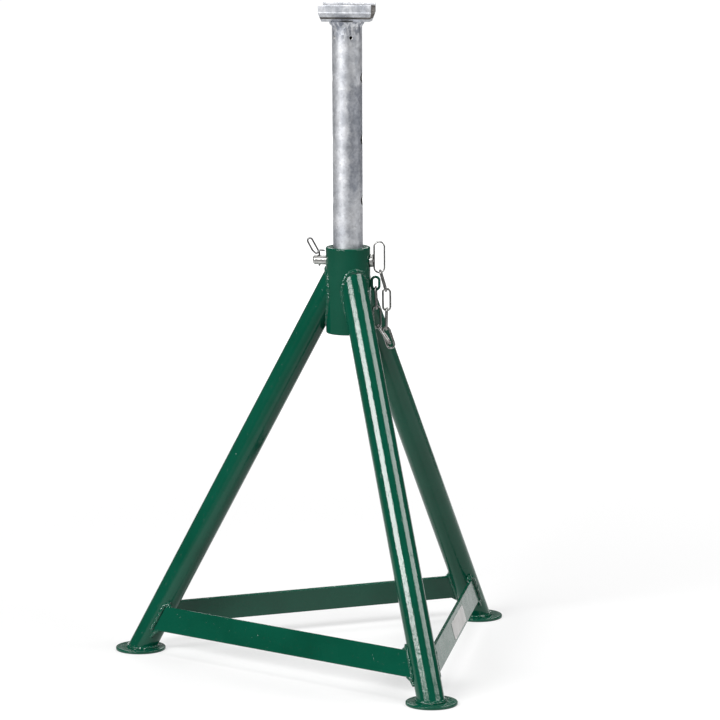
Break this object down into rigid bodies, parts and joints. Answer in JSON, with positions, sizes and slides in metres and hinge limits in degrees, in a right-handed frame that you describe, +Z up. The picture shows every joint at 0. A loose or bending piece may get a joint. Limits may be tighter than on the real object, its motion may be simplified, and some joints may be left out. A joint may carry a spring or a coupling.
{
  "type": "tripod axle stand",
  "caption": "Tall tripod axle stand: a perforated column with a trough saddle slides in the socket of a braced tube frame and is held at each height by a chained lock pin.",
  "frame": {"origin": "on the floor, under the column's axis, at the middle of the circle of the three feet", "axes": "+Z up along the column; -X through the left foot; the lock pin lies along X with its head and chain on the +X side; -Y faces the viewer of the picture"},
  "size_m": [0.628, 0.712, 1.1053],
  "materials": {
    "green_enamel": "gloss",
    "galvanised": "satin",
    "zinc": "satin",
    "zinc_chain": "gloss",
    "spring_wire": "satin"
  },
  "bodies": {
    "frame": {"socket_tube": "green_enamel", "leg_front": "green_enamel", "leg_left": "green_enamel", "leg_rear": "green_enamel", "foot_front": "green_enamel", "foot_left": "green_enamel", "foot_rear": "green_enamel", "brace_left": "green_enamel", "brace_right": "green_enamel", "brace_rear": "green_enamel", "leg_welds": "green_enamel", "brace_welds": "green_enamel", "chain_eye": "green_enamel", "eye_weld": "green_enamel"},
    "column": {"column_tube": "galvanised", "saddle": "galvanised"},
    "pin": {"lock_pin": "zinc", "pull_ring": "zinc", "ring_weld": "zinc"},
    "clip": {"safety_clip": "spring_wire"},
    "link_1": {"chain_link_1": "zinc_chain"},
    "link_2": {"chain_link_2": "zinc_chain"},
    "link_3": {"chain_link_3": "zinc_chain"},
    "link_4": {"chain_link_4": "zinc_chain"},
    "link_5": {"chain_link_5": "zinc_chain"},
    "link_6": {"chain_link_6": "zinc_chain"},
    "link_7": {"chain_link_7": "zinc_chain"}
  },
  "joints": [
    {"name": "column_slide", "type": "slide", "parent": "frame", "child": "column", "axis": [0, 0, 1], "range_m": [-0.306, 0.306]},
    {"name": "pin_pull", "type": "slide", "parent": "frame", "child": "pin", "axis": [1, 0, 0], "range_m": [0, 0.1]},
    {"name": "clip_lift", "type": "slide", "parent": "frame", "child": "clip", "axis": [0, 0, 1], "range_m": [0, 0.211]},
    {"name": "link_1_swing", "type": "hinge", "parent": "pin", "child": "link_1", "pos_m": [0.0527, 0, 0.6658], "axis": [0, -1, 0], "range_deg": [-32.2, 0]},
    {"name": "link_2_swing", "type": "hinge", "parent": "link_1", "child": "link_2", "pos_m": [0.06474, 0, 0.62379], "axis": [0, -1, 0], "range_deg": [0, 5.6]},
    {"name": "link_3_swing", "type": "hinge", "parent": "link_2", "child": "link_3", "pos_m": [0.06495, 0, 0.59979], "axis": [0, -1, 0], "range_deg": [0, 2]},
    {"name": "link_4_swing", "type": "hinge", "parent": "link_3", "child": "link_4", "pos_m": [0.06388, 0, 0.55881], "axis": [0, -1, 0], "range_deg": [-20.6, 0]},
    {"name": "link_7_swing", "type": "hinge", "parent": "frame", "child": "link_7", "pos_m": [0.0463, 0, 0.6345], "axis": [0, -1, 0], "range_deg": [0, 27.1]},
    {"name": "link_6_swing", "type": "hinge", "parent": "link_7", "child": "link_6", "pos_m": [0.04771, 0, 0.59403], "axis": [0, -1, 0], "range_deg": [0, 2]},
    {"name": "link_5_swing", "type": "hinge", "parent": "link_6", "child": "link_5", "pos_m": [0.04855, 0, 0.57004], "axis": [0, -1, 0], "range_deg": [-30.5, 0]}
  ],
  "couplings": [
    {"joint": "clip_lift", "follows": "pin_pull", "ratio": 2.1},
    {"joint": "link_1_swing", "follows": "pin_pull", "rad_per_m": -5.6133},
    {"joint": "link_2_swing", "follows": "pin_pull", "rad_per_m": 0.9769},
    {"joint": "link_3_swing", "follows": "pin_pull", "rad_per_m": 0.3484},
    {"joint": "link_4_swing", "follows": "pin_pull", "rad_per_m": -3.5847},
    {"joint": "link_7_swing", "follows": "pin_pull", "rad_per_m": 4.7252},
    {"joint": "link_6_swing", "follows": "pin_pull", "rad_per_m": 0.3482},
    {"joint": "link_5_swing", "follows": "pin_pull", "rad_per_m": -5.3096}
  ]
}
